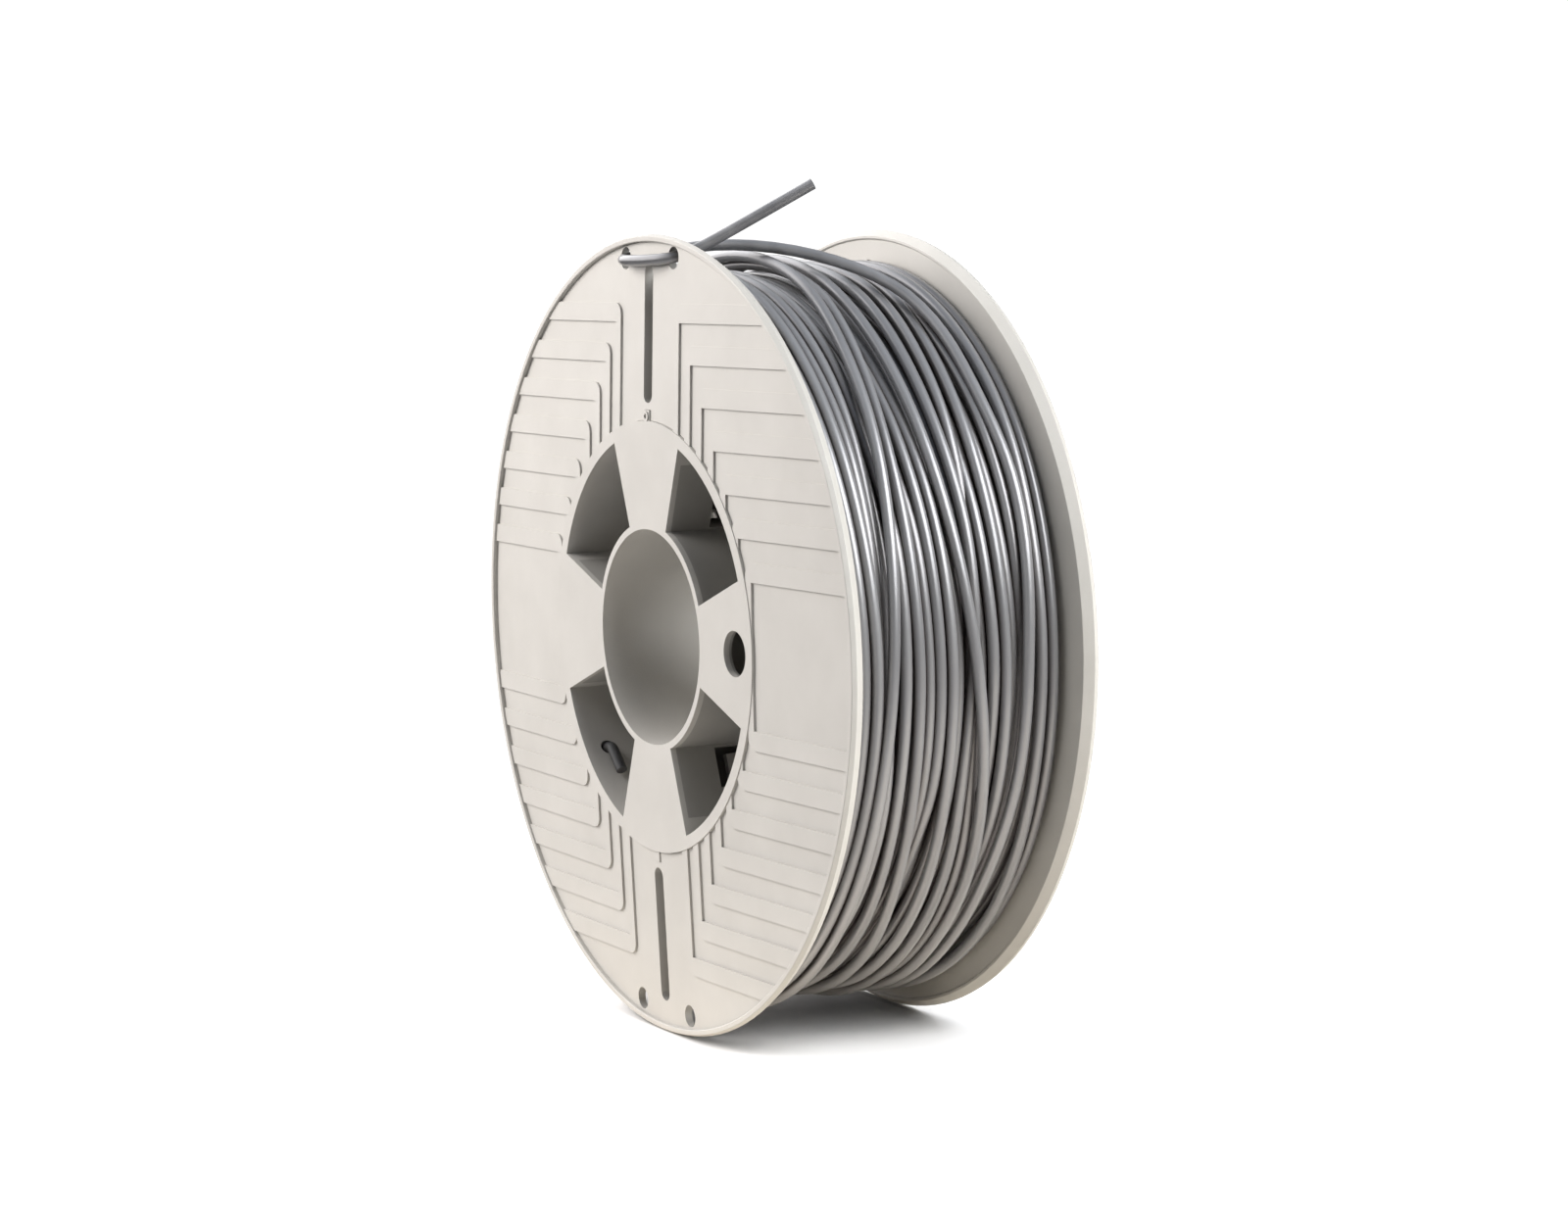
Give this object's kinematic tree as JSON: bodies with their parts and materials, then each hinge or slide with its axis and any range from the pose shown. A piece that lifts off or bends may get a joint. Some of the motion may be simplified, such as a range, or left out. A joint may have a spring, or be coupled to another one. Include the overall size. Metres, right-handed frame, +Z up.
{
  "type": "filament spool",
  "caption": "Spool of thick 3-D printer filament: ribbed flanges on a split spoked hub with a central bore, wound with filament whose free end is threaded through the rim.",
  "frame": {"origin": "centre of the bore, half way between the two hub faces", "axes": "+Y along the bore, from the front face to the rear face; +Z up, through the slots; the spool stands on the two rims at z = -0.1"},
  "size_m": [0.1999, 0.0718, 0.2142],
  "materials": {
    "spool_plastic": "light warm grey moulded plastic with a fine even grain",
    "filament": "glossy silver grey extruded filament"
  },
  "bodies": {
    "root": {"front_flange": "spool_plastic", "rear_flange": "spool_plastic", "hub_front_half": "spool_plastic", "hub_rear_half": "spool_plastic", "filament_winding": "filament", "filament_tail": "filament", "filament_start": "filament"}
  },
  "joints": []
}
